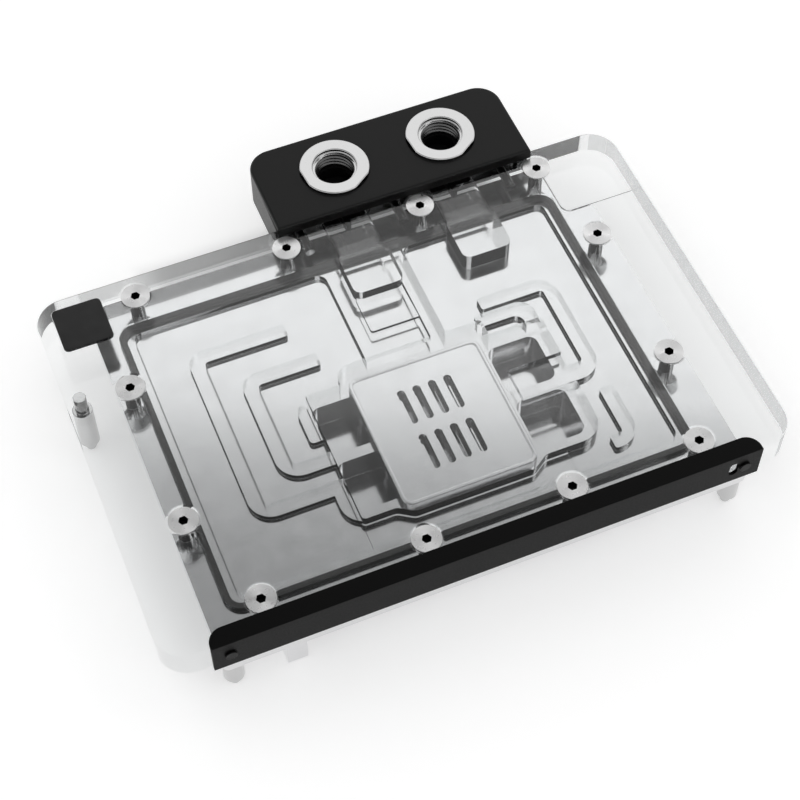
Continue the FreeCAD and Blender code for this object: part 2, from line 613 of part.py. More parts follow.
for side, port in PORTS.items():
    cut_circles(terminal, side + "_flange_seat", [(port, PORT_ROW)], "port_ring",
                "terminal_rise", "flange_depth")
    cut_circles(terminal, side + "_sleeve_hole", [(port, PORT_ROW)], "port_sleeve",
                "terminal_rise", "sleeve_depth")
    cut_circles(terminal, side + "_well", [(port, PORT_ROW)], "port_well", "terminal_rise",
                "terminal_rise - (%s)" % DUCT_FLOOR)
    cut_outline(terminal, side + "_terminal_duct", duct_outline(port), "-cover_depth",
                "port_back", upwards=False, role="XZ_Plane")
    groove = new_sketch(terminal, side + "_seal_groove", "XZ_Plane", "-cover_depth")
    outline(groove, duct_outline(port, "(duct_seal_gap + duct_seal_cord)",
                                 "duct_corner + duct_seal_gap + duct_seal_cord"))
    outline(groove, duct_outline(port, "duct_seal_gap", "duct_corner + duct_seal_gap"))
    pocket(terminal, groove, "duct_seal_cord")
# A tongue splits each duct. It is held in the block and reaches into the cover.
for side, port in PORTS.items():
    middle = duct_side(port) + " + pocket_length / 2"
    add_outline(terminal, side + "_tongue", [
        (middle + " - tongue_tip / 2", "cover_depth - tongue_reach", None),
        (middle + " + tongue_tip / 2", "cover_depth - tongue_reach", None),
        (middle + " + tongue_root / 2", "cover_depth + tongue_hold", None),
        (middle + " - tongue_root / 2", "cover_depth + tongue_hold", None)],
        "-cover_thickness + pocket_depth", "duct_height")
cut_circles(terminal, "clamp_passages", [(place, "-clamp_drop") for place in CLAMPS],
            "clamp_shank", "-cover_depth", "terminal_depth", role="XZ_Plane")
cut_circles(terminal, "clamp_wells", [(place, "-clamp_drop") for place in CLAMPS],
            "clamp_head", "-cover_depth - terminal_depth", "clamp_well", upwards=True,
            role="XZ_Plane")

# A plated brass insert lines each port: a flat ring on top and a threaded sleeve below. The
# ring has two flats in front, to hold it while it is screwed in.
for side, port in PORTS.items():
    insert = turned("port_insert_" + side, [
        ("port_mouth / 2", "terminal_rise + port_rise"),
        ("port_ring / 2", "terminal_rise + port_rise"),
        ("port_ring / 2", "terminal_rise - flange_depth"),
        ("port_sleeve / 2", "terminal_rise - flange_depth"),
        ("port_sleeve / 2", "terminal_rise - sleeve_depth"),
        ("port_bore / 2", "terminal_rise - sleeve_depth"),
        ("port_bore / 2", "terminal_rise + port_rise - port_mouth_depth"),
        ("port_mouth / 2", "terminal_rise + port_rise - port_mouth_depth")])
    for order in ("first", "second"):
        turn = math.radians(number("flat_" + order))
        ahead, aside = math.cos(turn), math.sin(turn)
        cut_outline(insert, "%s_%s_flat" % (side, order), [
            ("%.9f * %s + %.9f * %s * port_ring / 2" % (ahead, reach, aside, way),
             "%.9f * %s + %.9f * %s * port_ring / 2" % (-aside, reach, ahead, way), None)
            for reach, way in (("ring_flat", -1), ("ring_flat", 1), ("port_ring", 1),
                               ("port_ring", -1))],
            "terminal_rise + port_rise", "port_rise + flange_depth", upwards=False)

# ---------------------------------------------------------------- trim, light strip and badge
trim = new_body("front_trim")
add_outline(trim, "trim_top", [
    ("trim_left", "-trim_sheet", None), ("trim_left + trim_length", "-trim_sheet", None),
    ("trim_left + trim_length", "trim_reach", "trim_corner"),
    ("trim_left", "trim_reach", "trim_corner")], "trim_sheet", "trim_sheet")
add_outline(trim, "trim_front", box_corners(
    "trim_left", "-trim_drop", "trim_length", "trim_drop + trim_sheet"), "0", "trim_sheet",
    downwards=False, role="XZ_Plane")
cut_outline(trim, "trim_slot", box_corners(
    "trim_left + trim_slot_place", "-trim_slot_drop - trim_slot_height", "trim_slot_width",
    "trim_slot_height", "trim_slot_width / 2 - slot_flat"), "trim_sheet", "trim_sheet",
    upwards=False, role="XZ_Plane")
cut_circles(trim, "trim_screw_holes", [(place, "-trim_screw_drop") for place in TRIM_SCREWS],
            "trim_screw_shank", "trim_sheet", "trim_sheet", role="XZ_Plane")

light = new_body("light_strip")
add_outline(light, "light_edge", light_corners, "0", "light_thickness", role="XZ_Plane")

badge = new_body("badge_tile")
add_outline(badge, "badge_edge", box_corners(
    "badge_left", BADGE_FRONT, "badge_length", "badge_depth", "badge_corner"),
    "badge_thickness - badge_seat", "badge_thickness")

# ---------------------------------------------------------------- standoffs
def standoff(name, x, y, top, size, reach):
    """A turned spacer with a threaded stud at both ends, for the holes of the circuit board."""
    shoulder = PLATE_BOTTOM + " - standoff_drop"
    body = turned(name, [
        ("0", "%s + %s" % (top, reach)), ("%s / 2" % size, "%s + %s" % (top, reach)),
        ("%s / 2" % size, top), ("standoff_size / 2", top), ("standoff_size / 2", shoulder),
        ("stud_size / 2", shoulder), ("stud_size / 2", shoulder + " - stud_length"),
        ("0", shoulder + " - stud_length")])
    return body, x, y


STANDOFFS = [standoff("standoff_rim", "rim_left", "rim_row", UNDERSIDE, "rim_stud_size",
                      "rim_stud_reach")]
PLATE_STANDOFFS = {
    "standoff_front_left": ("plate_left + corner_inset", "corner_inset"),
    "standoff_front_right": (PLATE_RIGHT + " - corner_inset", "corner_inset"),
    "standoff_back_left": ("back_left", PLATE_BACK + " - back_left_inset"),
    "standoff_back_right": (PLATE_RIGHT + " - back_right_end",
                            PLATE_BACK + " - back_right_inset"),
}
for depth_side, depth_sign in (("front", "-"), ("back", "+")):
    for length_side, length_sign in (("left", "-"), ("right", "+")):
        PLATE_STANDOFFS["chip_standoff_%s_%s" % (depth_side, length_side)] = (
            "die_left %s die_pitch_long / 2" % length_sign,
            "die_front %s die_pitch_short / 2" % depth_sign)
for name, (x, y) in PLATE_STANDOFFS.items():
    STANDOFFS.append(standoff(name, x, y, PLATE_BOTTOM, "tap_size", "stud_reach"))
cut_circles(cold, "standoff_taps", list(PLATE_STANDOFFS.values()), "tap_size", PLATE_BOTTOM,
            "stud_reach", upwards=True)

# ---------------------------------------------------------------- screws
screw = turned("cover_screw", [
    ("0", "-head_recess"), ("screw_head / 2", "-head_recess"),
    ("screw_head / 2", "-head_recess - head_rim"),
    ("screw_shank / 2", "-head_recess - head_rim - (screw_head - screw_shank) / 2"),
    ("screw_shank / 2", "-head_recess - screw_length"), ("0", "-head_recess - screw_length")])
hexagon(screw, "cover_screw_socket", "0", "0", "screw_socket", "-head_recess", "socket_depth")
group("cover_screws", screw.Shape, [(x, y, "0") for x, y in SCREWS])

clamp_shank_length = "terminal_depth - clamp_well + clamp_reach"
clamp = turned("clamp_screw", [
    ("0", "clamp_head_length"), ("clamp_head / 2", "clamp_head_length"), ("clamp_head / 2", "0"),
    ("clamp_shank / 2", "0"), ("clamp_shank / 2", "-(%s)" % clamp_shank_length),
    ("0", "-(%s)" % clamp_shank_length)])
hexagon(clamp, "clamp_screw_socket", "0", "0", "clamp_socket", "clamp_head_length",
        "clamp_socket_depth")
facing_back = clamp.Shape.copy()
facing_back.rotate(FreeCAD.Vector(0, 0, 0), FreeCAD.Vector(1, 0, 0), -90)
group("clamp_screws", facing_back,
      [(place, "cover_depth + terminal_depth - clamp_well", "-clamp_drop") for place in CLAMPS])

pin = turned("trim_screw", [
    ("0", "trim_head_length"), ("trim_screw_head / 2", "trim_head_length"),
    ("trim_screw_head / 2", "0"), ("trim_screw_shank / 2", "0"),
    ("trim_screw_shank / 2", "-trim_screw_length"), ("0", "-trim_screw_length")])
facing_front = pin.Shape.copy()
facing_front.rotate(FreeCAD.Vector(0, 0, 0), FreeCAD.Vector(1, 0, 0), 90)
group("trim_screws", facing_front,
      [(place, "-trim_sheet", "-trim_screw_drop") for place in TRIM_SCREWS])

# ---------------------------------------------------------------- placing and writing
# The origin moves to the middle of the contact face that sits on the graphics chip.
for side, port in PORTS.items():
    STANDOFFS.append((doc.getObject("port_insert_" + side), port, PORT_ROW))
offsets = {body.Name: (x, y) for body, x, y in STANDOFFS}
masters = {"cover_screw", "clamp_screw", "trim_screw"}
pieces = [item for item in doc.Objects
          if item.TypeId in ("PartDesign::Body", "Part::Feature") and item.Name not in masters]
for piece in pieces:
    x, y = offsets.get(piece.Name, ("0", "0"))
    shift = {"x": "%s - die_left" % x, "y": "%s - die_front" % y,
             "z": "cover_thickness + plate_thickness + die_drop"}
    if piece.TypeId == "PartDesign::Body":
        for axis, rule in shift.items():
            piece.setExpression("Placement.Base." + axis, bound(rule))
    else:
        piece.Placement.Base = FreeCAD.Vector(*[number(rule) for rule in shift.values()])
doc.recompute()

for item in doc.Objects:
    if "Invalid" in item.State or "Error" in item.State:
        raise RuntimeError("%s did not build: %s" % (item.Name, item.State))
for piece in pieces:
    if piece.Shape.isNull() or not piece.Shape.isValid():
        raise RuntimeError("%s has no valid solid" % piece.Name)

os.makedirs("parts", exist_ok=True)
for piece in pieces:
    piece.Shape.exportStep("parts/%s.step" % piece.Label)
    print(piece.Label, len(piece.Shape.Solids), round(piece.Shape.Volume, 1))
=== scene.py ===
import bpy, bmesh, math
from mathutils import Matrix, Vector


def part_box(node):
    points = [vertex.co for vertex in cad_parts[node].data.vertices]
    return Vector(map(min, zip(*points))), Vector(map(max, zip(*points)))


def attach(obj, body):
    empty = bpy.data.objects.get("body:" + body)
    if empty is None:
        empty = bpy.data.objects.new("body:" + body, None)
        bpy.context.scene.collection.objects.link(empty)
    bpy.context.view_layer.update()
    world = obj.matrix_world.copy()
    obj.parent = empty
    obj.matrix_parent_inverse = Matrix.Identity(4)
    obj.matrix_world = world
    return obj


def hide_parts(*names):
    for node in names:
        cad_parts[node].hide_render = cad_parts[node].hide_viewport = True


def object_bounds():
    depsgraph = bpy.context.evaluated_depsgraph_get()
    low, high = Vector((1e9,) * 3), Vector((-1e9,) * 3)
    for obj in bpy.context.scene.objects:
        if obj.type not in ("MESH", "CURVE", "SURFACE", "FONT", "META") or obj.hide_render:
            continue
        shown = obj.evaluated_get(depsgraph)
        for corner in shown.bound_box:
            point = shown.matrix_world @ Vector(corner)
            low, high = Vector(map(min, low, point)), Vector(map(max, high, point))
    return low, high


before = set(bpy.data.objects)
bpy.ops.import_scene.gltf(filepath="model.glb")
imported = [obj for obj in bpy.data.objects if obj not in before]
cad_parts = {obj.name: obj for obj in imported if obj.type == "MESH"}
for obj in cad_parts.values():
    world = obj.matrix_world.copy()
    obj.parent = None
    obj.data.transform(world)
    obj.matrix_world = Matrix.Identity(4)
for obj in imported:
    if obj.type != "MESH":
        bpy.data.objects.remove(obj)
cad_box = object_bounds()

# ------------------------------------------------------------------ camera
# A three-quarter view from high over the front left corner, as a catalogue shows a product.
# The long lens keeps the cover's far edge nearly as wide as its near one.
MM = 0.001
cover_low, cover_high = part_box("cover_plate")
EYE_LEFT, EYE_FRONT, EYE_ABOVE = 21.6 * MM, 211.8 * MM, 426.5 * MM
LOOK = Vector((0.2126, 0.5151, -0.8303))
camera_data = bpy.data.cameras.new("camera")
camera_data.lens = 82.1
camera_data.sensor_width = 36
camera_data.clip_start = 10 * MM
camera = bpy.data.objects.new("camera", camera_data)
scene = bpy.context.scene
scene.collection.objects.link(camera)
camera.location = (cover_low.x - EYE_LEFT, cover_low.y - EYE_FRONT, cover_high.z + EYE_ABOVE)
camera.rotation_euler = LOOK.to_track_quat("-Z", "Y").to_euler()
scene.camera = camera


# ------------------------------------------------------------------ floor, backdrop and light
# A sheet of white paper lies under the block. The room round it is drawn by direction alone:
# soft and even for matt surfaces, and with light and dark fields for the plating to mirror.
def colour(code):
    """An sRGB hex value as linear red, green, blue and alpha."""
    parts = [int(code[i:i + 2], 16) / 255 for i in (0, 2, 4)]
    return [p / 12.92 if p <= 0.04045 else ((p + 0.055) / 1.055) ** 2.4 for p in parts] + [1]


def node(tree, kind, links=(), **settings):
    """Adds a node, sets its sockets and properties, and links its inputs.

    A setting is named for a socket, with _ for each space, for a property, or in_N for the
    socket with that number."""
    new = tree.nodes.new(kind)
    for key, value in settings.items():
        socket = key.replace("_", " ")
        if socket in new.inputs:
            new.inputs[socket].default_value = value
        elif key.startswith("in_"):
            new.inputs[int(key[3:])].default_value = value
        else:
            setattr(new, key, value)
    for socket, source in dict(links).items():
        tree.links.new(source, new.inputs[socket])
    return new


def light_along(tree, source, direction, stops):
    """A value that follows the stops, (place, value) pairs, along a direction of the source.

    A ramp holds values up to 1 only, so they are halved in it and doubled after it."""
    along = node(tree, "ShaderNodeVectorMath", {0: source}, operation="DOT_PRODUCT", in_1=direction)
    first, last = stops[0][0], stops[-1][0]
    share = node(tree, "ShaderNodeMapRange", {"Value": along.outputs["Value"]},
                 From_Min=first, From_Max=last)
    ramp = node(tree, "ShaderNodeValToRGB", {"Fac": share.outputs["Result"]})
    points = ramp.color_ramp.elements
    for index, (place, value) in enumerate(stops):
        at = (place - first) / (last - first)
        point = points[index] if index < 2 else points.new(at)
        point.position = at
        point.color = (value / 2, value / 2, value / 2, 1)
    doubled = node(tree, "ShaderNodeMath", {0: ramp.outputs["Color"]}, operation="MULTIPLY",
                   in_1=2.0)
    return doubled.outputs[0]


scene.view_settings.view_transform = "Standard"
world = bpy.data.worlds.new("studio")
# The room isn't sampled as a lamp, because such samples don't say what kind of ray they are.
world.cycles.sampling_method = "NONE"
scene.world = world
world.use_nodes = True
room = world.node_tree
room.nodes.clear()
LOW_BACK, UP, RIGHT = (0.317, 0.768, -0.557), (0, 0, 1), (1, 0, 0)
way = node(room, "ShaderNodeTexCoord").outputs["Generated"]
# High up, a bright band lies straight overhead. In front of it the room is dark, and behind it
# the light grows again towards the back. The left is dark.
front_to_back = light_along(room, way, LOW_BACK, (
    (-0.7, 0.03), (-0.6, 1.9), (-0.44, 1.9), (-0.34, 0.3), (-0.2, 0.4), (-0.093, 0.47),
    (-0.066, 0.52), (-0.049, 0.6), (-0.038, 0.68), (-0.027, 0.8), (-0.0164, 0.97),
    (-0.011, 1.1), (-0.004, 1.45), (0.0, 1.54)))
left_to_right = light_along(room, way, RIGHT, ((-0.1, 0.1), (0.0, 1.0)))
overhead = node(room, "ShaderNodeMath", {0: front_to_back, 1: left_to_right},
                operation="MULTIPLY")
# Lower down the light depends on height alone, so that the back and right walls of the cover's
# recesses are as light as what lies beside them.
low_ring = light_along(room, way, UP, (
    (0.557, 1.54), (0.586, 1.48), (0.6, 0.92), (0.613, 0.68), (0.631, 0.52), (0.65, 0.47)))
height = light_along(room, way, UP, ((0.665, 0.0), (0.705, 1.0)))
glow = node(room, "ShaderNodeMix", {"Factor": height, "A": low_ring, "B": overhead.outputs[0]})
mirrored = node(room, "ShaderNodeBackground", {"Strength": glow.outputs[0]})
even = node(room, "ShaderNodeBackground", Strength=1.0)
room_rays = node(room, "ShaderNodeLightPath")
plain = node(room, "ShaderNodeMath",
             {0: room_rays.outputs["Is Diffuse Ray"], 1: room_rays.outputs["Is Camera Ray"]},
             operation="MAXIMUM")
seen = node(room, "ShaderNodeMixShader",
            {0: plain.outputs[0], 1: mirrored.outputs[0], 2: even.outputs[0]})
node(room, "ShaderNodeOutputWorld", {0: seen.outputs[0]})

FLOOR_REACH = 3.0
floor_mesh = bmesh.new()
bmesh.ops.create_grid(floor_mesh, x_segments=1, y_segments=1, size=FLOOR_REACH)
bmesh.ops.translate(floor_mesh, verts=floor_mesh.verts, vec=(0, 0, cad_box[0][2]))
floor_data = bpy.data.meshes.new("floor")
floor_mesh.to_mesh(floor_data)
floor_mesh.free()
floor = bpy.data.objects.new("floor", floor_data)
scene.collection.objects.link(floor)

# Matt white paper. A little light of its own lifts it to full white, but not in a soft-edged box
# under the block. There the glow is switched off, a painted shadow where the block's shadow falls.
SEEN_LIFT, CAST_LIFT = 0.32, 0.1
PAINTED_SHADOW_MIDDLE = (0.0, 38 * MM, 0.0)
PAINTED_SHADOW_HALF = (58 * MM, 62 * MM, 0.0)
PAINTED_SHADOW_FADE = 6 * MM
paper = bpy.data.materials.new("white_paper")
paper.use_nodes = True
tree = paper.node_tree
tree.nodes.clear()
matt = node(tree, "ShaderNodeBsdfDiffuse", Color=colour("f5f5f5"))
paper_rays = node(tree, "ShaderNodeLightPath")
lift = node(tree, "ShaderNodeMapRange", {"Value": paper_rays.outputs["Is Diffuse Ray"]},
            To_Min=SEEN_LIFT, To_Max=CAST_LIFT)
spot = node(tree, "ShaderNodeTexCoord")
from_middle = node(tree, "ShaderNodeVectorMath", {0: spot.outputs["Object"]},
                   operation="SUBTRACT", in_1=PAINTED_SHADOW_MIDDLE)
either_side = node(tree, "ShaderNodeVectorMath", {0: from_middle.outputs[0]},
                   operation="ABSOLUTE")
past_edge = node(tree, "ShaderNodeVectorMath", {0: either_side.outputs[0]},
                 operation="SUBTRACT", in_1=PAINTED_SHADOW_HALF)
axes = node(tree, "ShaderNodeSeparateXYZ", {0: past_edge.outputs[0]})
outside = node(tree, "ShaderNodeMath", {0: axes.outputs["X"], 1: axes.outputs["Y"]},
               operation="MAXIMUM")
# Painted shadow: the paper's glow fades out inside the box under the block.
open_floor = node(tree, "ShaderNodeMapRange", {"Value": outside.outputs[0]},
                  interpolation_type="SMOOTHSTEP", From_Min=-PAINTED_SHADOW_FADE, From_Max=PAINTED_SHADOW_FADE)
strength = node(tree, "ShaderNodeMath",
                {0: lift.outputs["Result"], 1: open_floor.outputs["Result"]},
                operation="MULTIPLY")
lit = node(tree, "ShaderNodeEmission", {"Strength": strength.outputs[0]}, Color=colour("ffffff"))
both = node(tree, "ShaderNodeAddShader", {0: matt.outputs[0], 1: lit.outputs[0]})
node(tree, "ShaderNodeOutputMaterial", {0: both.outputs[0]})
floor_data.materials.append(paper)


# ------------------------------------------------------------------ clear cover
# A 10 mm slab of cast acrylic with its recesses milled from below and polished, so every wall of
# the flow path shows. Its outer walls that face right keep the satin of the cutter, and their grey
# tint is painted shade.
WELD = 0.002 * MM


def merged(source, join=WELD):
    """A CAD piece as one closed mesh, with the flat faces whole."""
    shape = bmesh.new()
    shape.from_mesh(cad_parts[source].data)
    bmesh.ops.remove_doubles(shape, verts=shape.verts, dist=join)
    bmesh.ops.dissolve_limit(shape, angle_limit=math.radians(1), verts=shape.verts,
                             edges=shape.edges)
    return shape


def ease(shape, fit):
    """Moves every face inwards by the fit, so that no two pieces share a face.

    Each corner goes where it best suits the planes that meet there, slivers left out."""
    sliver = 0.01 * MM * MM
    steady = 0.001
    moves = []
    for vert in shape.verts:
        total = Matrix.Diagonal((steady, steady, steady))
        push = Vector((0, 0, 0))
        for face in vert.link_faces:
            if face.calc_area() > sliver:
                normal = face.normal
                total += Matrix([[a * b for b in normal] for a in normal])
                push -= normal * fit
        moves.append(total.inverted() @ push)
    for vert, move in zip(shape.verts, moves):
        vert.co += move


def round_edges(shape, edge, segments=2, angle=30, clamp=True, chosen=lambda line: True):
    """Breaks every chosen edge that is sharper than the angle."""
    sharp = [line for line in shape.edges if len(line.link_faces) == 2
             and line.calc_face_angle(0) > math.radians(angle) and chosen(line)]
    bmesh.ops.bevel(shape, geom=sharp, offset=edge, offset_type="OFFSET", segments=segments,
                    profile=0.5, affect="EDGES", clamp_overlap=clamp, material=-1)


def above(level):
    """Chooses the edges that lie wholly above a level."""
    return lambda line: all(vert.co.z > level for vert in line.verts)


def new_piece(shape, name, materials, slot, *sources, crease=50):
    """Makes a piece of a mesh, in place of the CAD pieces named.

    Edges sharper than the crease stay sharp, and large flat faces set the shading of the
    narrow ones beside them."""
    shape.normal_update()
    for face in shape.faces:
        face.smooth = True
    for line in shape.edges:
        line.smooth = line.calc_face_angle(0) < math.radians(crease)
    mesh = bpy.data.meshes.new(name)
    shape.to_mesh(mesh)
    shape.free()
    if "custom_normal" in mesh.attributes:
        mesh.attributes.remove(mesh.attributes["custom_normal"])
    piece = bpy.data.objects.new(name, mesh)
    scene.collection.objects.link(piece)
    for material in materials:
        mesh.materials.append(material)
    flat = piece.modifiers.new("flat_faces", "WEIGHTED_NORMAL")
    flat.keep_sharp = True
    flat.weight = 100
    if sources:
        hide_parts(*sources)
    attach(piece, "root")
    return piece


def new_material(name):
    """A material with no nodes yet, and its tree."""
    material = bpy.data.materials.new(name)
    material.use_nodes = True
    material.node_tree.nodes.clear()
    return material, material.node_tree


def surface(tree, lump, detail, low, high, stretch=(1, 1, 1), dents=0, depth=0):
    """The links that give a material its marks, in lumps of this size across.

    They spread its roughness between low and high, and dent it where there is a depth."""
    spot = node(tree, "ShaderNodeTexCoord")
    lay = node(tree, "ShaderNodeMapping", {"Vector": spot.outputs["Object"]}, Scale=stretch)
    noise = node(tree, "ShaderNodeTexNoise", {"Vector": lay.outputs[0]}, Scale=1 / lump,
                 Detail=detail)
    # Nearly all of the noise lies between 0.3 and 0.7.
    spread = node(tree, "ShaderNodeMapRange", {"Value": noise.outputs["Fac"]}, From_Min=0.3,
                  From_Max=0.7, To_Min=low, To_Max=high)
    links = {"Roughness": spread.outputs["Result"]}
    if depth:
        bump = node(tree, "ShaderNodeBump", {"Height": noise.outputs["Fac"]}, Strength=dents,
                    Distance=depth)
        links["Normal"] = bump.outputs["Normal"]
    return links


# Cast acrylic, polished. Inside, it bends light less than the real 1.49, so that the walls of
# the recesses stay light, and its coat gives the surface its real gloss.
CLEAR_IOR, SURFACE_IOR = 1.16, 1.49
acrylic, tree = new_material("polished_cast_acrylic")
clear = node(tree, "ShaderNodeBsdfPrincipled", IOR=CLEAR_IOR, Roughness=0.0,
             Transmission_Weight=1.0, Coat_Weight=1.0, Coat_IOR=SURFACE_IOR, Coat_Roughness=0.01,
             Base_Color=colour("fafbfb"))
node(tree, "ShaderNodeOutputMaterial", {0: clear.outputs[0]})

# The same acrylic as the cutter leaves it, a satin, tinted grey as painted shade. The cutter's
# marks stand upright, and are drawn 2 mm wide, coarser than real ones.
CUTTER_MARK = 2 * MM
satin_and_shade, tree = new_material("satin_acrylic_edge_painted_shade")
frosted = node(tree, "ShaderNodeBsdfPrincipled",
               surface(tree, CUTTER_MARK, detail=3, low=0.34, high=0.42, stretch=(1, 1, 0.1)),
               IOR=CLEAR_IOR, Transmission_Weight=1.0, Base_Color=colour("c4c6c6"))
node(tree, "ShaderNodeOutputMaterial", {0: frosted.outputs[0]})

FIT = 0.03 * MM
RIM_ROUND, RIM_ZONE = 0.35 * MM, 0.1 * MM
shape = merged("cover_plate")
ease(shape, FIT)
round_edges(shape, RIM_ROUND, segments=3, clamp=False, chosen=above(cover_high.z - RIM_ZONE))
shape.normal_update()


def upright(face):
    """Whether a face is a wall."""
    return abs(face.normal.z) < 0.2


# The outer wall starts at the faces on the four sides, and goes on round the corners.
NEAR_SIDE = 0.2 * MM
WALL_TURN = math.radians(40)
PAINTED_SHADE_FACING = 0.35
outer = {face for face in shape.faces if upright(face) and any(
    abs(face.calc_center_median()[axis] - side[axis]) < NEAR_SIDE
    for axis in (0, 1) for side in (cover_low, cover_high))}
todo = list(outer)
while todo:
    for line in todo.pop().edges:
        for face in line.link_faces:
            if face not in outer and upright(face) and line.calc_face_angle(0) < WALL_TURN:
                outer.add(face)
                todo.append(face)
# Only the outer walls that face right get the grey satin, painted shade on that side; the rest stay
# clear.
for face in outer:
    face.material_index = int(face.normal.x > PAINTED_SHADE_FACING)
new_piece(shape, "clear_cover", (acrylic, satin_and_shade), "clear_acrylic", "cover_plate")

# ------------------------------------------------------------------ cold plate
# Copper, milled with fins and pockets, lapped flat on top and nickel plated. The cover is
# screwed down on it.
# Lapping leaves a faint haze that blurs what the plate mirrors. It is drawn in 6.25 mm patches,
# since the real marks are too fine to show.
LAPPED_PATCH = 6.25 * MM
PLATE_ROUND = 0.15 * MM
nickel, tree = new_material("lapped_nickel_plate")
plating = node(tree, "ShaderNodeBsdfPrincipled",
               surface(tree, LAPPED_PATCH, detail=4, low=0.11, high=0.16), Metallic=1.0,
               Base_Color=colour("dededf"))
node(tree, "ShaderNodeOutputMaterial", {0: plating.outputs[0]})
shape = merged("cold_plate")
round_edges(shape, PLATE_ROUND)
new_piece(shape, "lapped_cold_plate", (nickel,), "plated_copper", "cold_plate")

# ------------------------------------------------------------------ jet plate
# A plated plate with two rows of slots, through which the coolant reaches the fins below it. It
# lies on the cold plate in the cover's chamber, and its raised rim has a rounded outer edge.
SLIVER_JOIN = 0.03 * MM
JET_ROUND, JET_ZONE = 0.35 * MM, 0.05 * MM
OUTER_PART = 0.4
jet_low, jet_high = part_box("jet_plate")
jet_middle, jet_size = (jet_low + jet_high) / 2, jet_high - jet_low


def on_outer_top_edge(line):
    """Chooses the edges on top that lie far enough from the plate's middle."""
    return all(vert.co.z > jet_high.z - JET_ZONE
               and max(abs(vert.co[axis] - jet_middle[axis]) / jet_size[axis]
                       for axis in (0, 1)) > OUTER_PART for vert in line.verts)


shape = merged("jet_plate", SLIVER_JOIN)
round_edges(shape, JET_ROUND, segments=4, clamp=False, chosen=on_outer_top_edge)
new_piece(shape, "lapped_jet_plate", (nickel,), "plated_copper", "jet_plate")

# ------------------------------------------------------------------ seals
# Nitrile rubber cord, moulded and pressed into its grooves under the cover and round the ducts.
# The moulding leaves it slightly matt, with a skin that varies over about a millimetre.
RUBBER_SKIN = 1.11 * MM
rubber, tree = new_material("nitrile_rubber")
black = node(tree, "ShaderNodeBsdfPrincipled",
             surface(tree, RUBBER_SKIN, detail=2, low=0.45, high=0.6), Base_Color=colour("161616"))
node(tree, "ShaderNodeOutputMaterial", {0: black.outputs[0]})
for source in ("main_seal", "duct_seal_left", "duct_seal_right"):
    new_piece(merged(source), source + "_cord", (rubber,), "seal_rubber", source)

# ------------------------------------------------------------------ terminal block
# Black acetal, milled from a block and tumbled, and clamped on the cover's back edge. It is a
# satin black with a low, wide gloss, and the tumbling leaves the finest of dimples.
TUMBLED_DIMPLE, DIMPLE_DEPTH = 0.4 * MM, 0.05 * MM
TERMINAL_ROUND, ABOVE_COVER = 0.3 * MM, 0.5 * MM
acetal, tree = new_material("black_acetal")
satin_black = node(tree, "ShaderNodeBsdfPrincipled",
                   surface(tree, TUMBLED_DIMPLE, detail=3, low=0.3, high=0.4, dents=0.15,
                           depth=DIMPLE_DEPTH),
                   Base_Color=colour("111111"), IOR=1.48, Specular_IOR_Level=0.22)
node(tree, "ShaderNodeOutputMaterial", {0: satin_black.outputs[0]})
shape = merged("terminal_block", SLIVER_JOIN)
round_edges(shape, TERMINAL_ROUND, clamp=False, chosen=above(cover_high.z + ABOVE_COVER))
new_piece(shape, "machined_terminal", (acetal,), "black_acetal", "terminal_block")

# ------------------------------------------------------------------ port rings
# Brass, turned and nickel plated: the two G 1/4 ports, screwed into the terminal block. Each has
# a polished face, and its pipe thread is drawn as a ridge of the real 1.337 mm pitch.
POLISHED_PATCH, CUT_MARK = 1.67 * MM, 1.11 * MM
bright, tree = new_material("bright_nickel_plate")
shiny = node(tree, "ShaderNodeBsdfPrincipled",
             surface(tree, POLISHED_PATCH, detail=3, low=0.07, high=0.11), Metallic=1.0,
             Base_Color=colour("c8c8c8"))
node(tree, "ShaderNodeOutputMaterial", {0: shiny.outputs[0]})

# The thread's flanks keep the tool's marks, so they are duller than the face. They and the rest of
# the bore are also darker, painted shade in the bore.
cut_and_bore_shade, tree = new_material("cut_thread_and_bore_shade")
dull = node(tree, "ShaderNodeBsdfPrincipled",
            surface(tree, CUT_MARK, detail=3, low=0.22, high=0.3), Metallic=1.0,
            Base_Color=colour("5c5c5c"))
node(tree, "ShaderNodeOutputMaterial", {0: dull.outputs[0]})

RING_ROUND = 0.3 * MM
BORE_REACH = 6.1 * MM
THREAD_PITCH, THREAD_TURNS, TURN_STEPS = 1.337 * MM, 2.6, 48
THREAD_ROOT, THREAD_CREST, CREST_HALF = 6.0 * MM, 5.45 * MM, 0.12 * MM
THREAD_START = 1.0 * MM
FLANK_SHARE = 0.92
for side in ("left", "right"):
    source = "port_insert_" + side
    low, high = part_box(source)
    middle = (low + high) / 2
    shape = merged(source, SLIVER_JOIN)
    round_edges(shape, RING_ROUND, segments=3, clamp=False)
    # The faces in the bore take the darker second material, painted shade in the bore.
    for face in shape.faces:
        face.material_index = int(all(
            math.hypot(vert.co.x - middle.x, vert.co.y - middle.y) < BORE_REACH
            for vert in face.verts))
    new_piece(shape, "port_ring_" + side, (bright, cut_and_bore_shade), "plated_brass", source)

    ridge = bmesh.new()
    half = 0.5 * THREAD_PITCH * FLANK_SHARE
    corners = [ridge.verts.new((middle.x + reach, middle.y, low.z + THREAD_START + rise))
               for reach, rise in ((THREAD_ROOT, -half), (THREAD_CREST, -CREST_HALF),
                                   (THREAD_CREST, CREST_HALF), (THREAD_ROOT, half))]
    profile = ridge.faces.new(corners)
    bmesh.ops.spin(ridge, geom=[profile] + list(profile.edges) + corners, cent=middle,
                   axis=(0, 0, 1), dvec=(0, 0, THREAD_PITCH / TURN_STEPS),
                   angle=THREAD_TURNS * 2 * math.pi, steps=int(THREAD_TURNS * TURN_STEPS),
                   use_merge=False, use_duplicate=False)
    bmesh.ops.recalc_face_normals(ridge, faces=ridge.faces)
    new_piece(ridge, "port_thread_" + side, (cut_and_bore_shade,), "plated_brass")

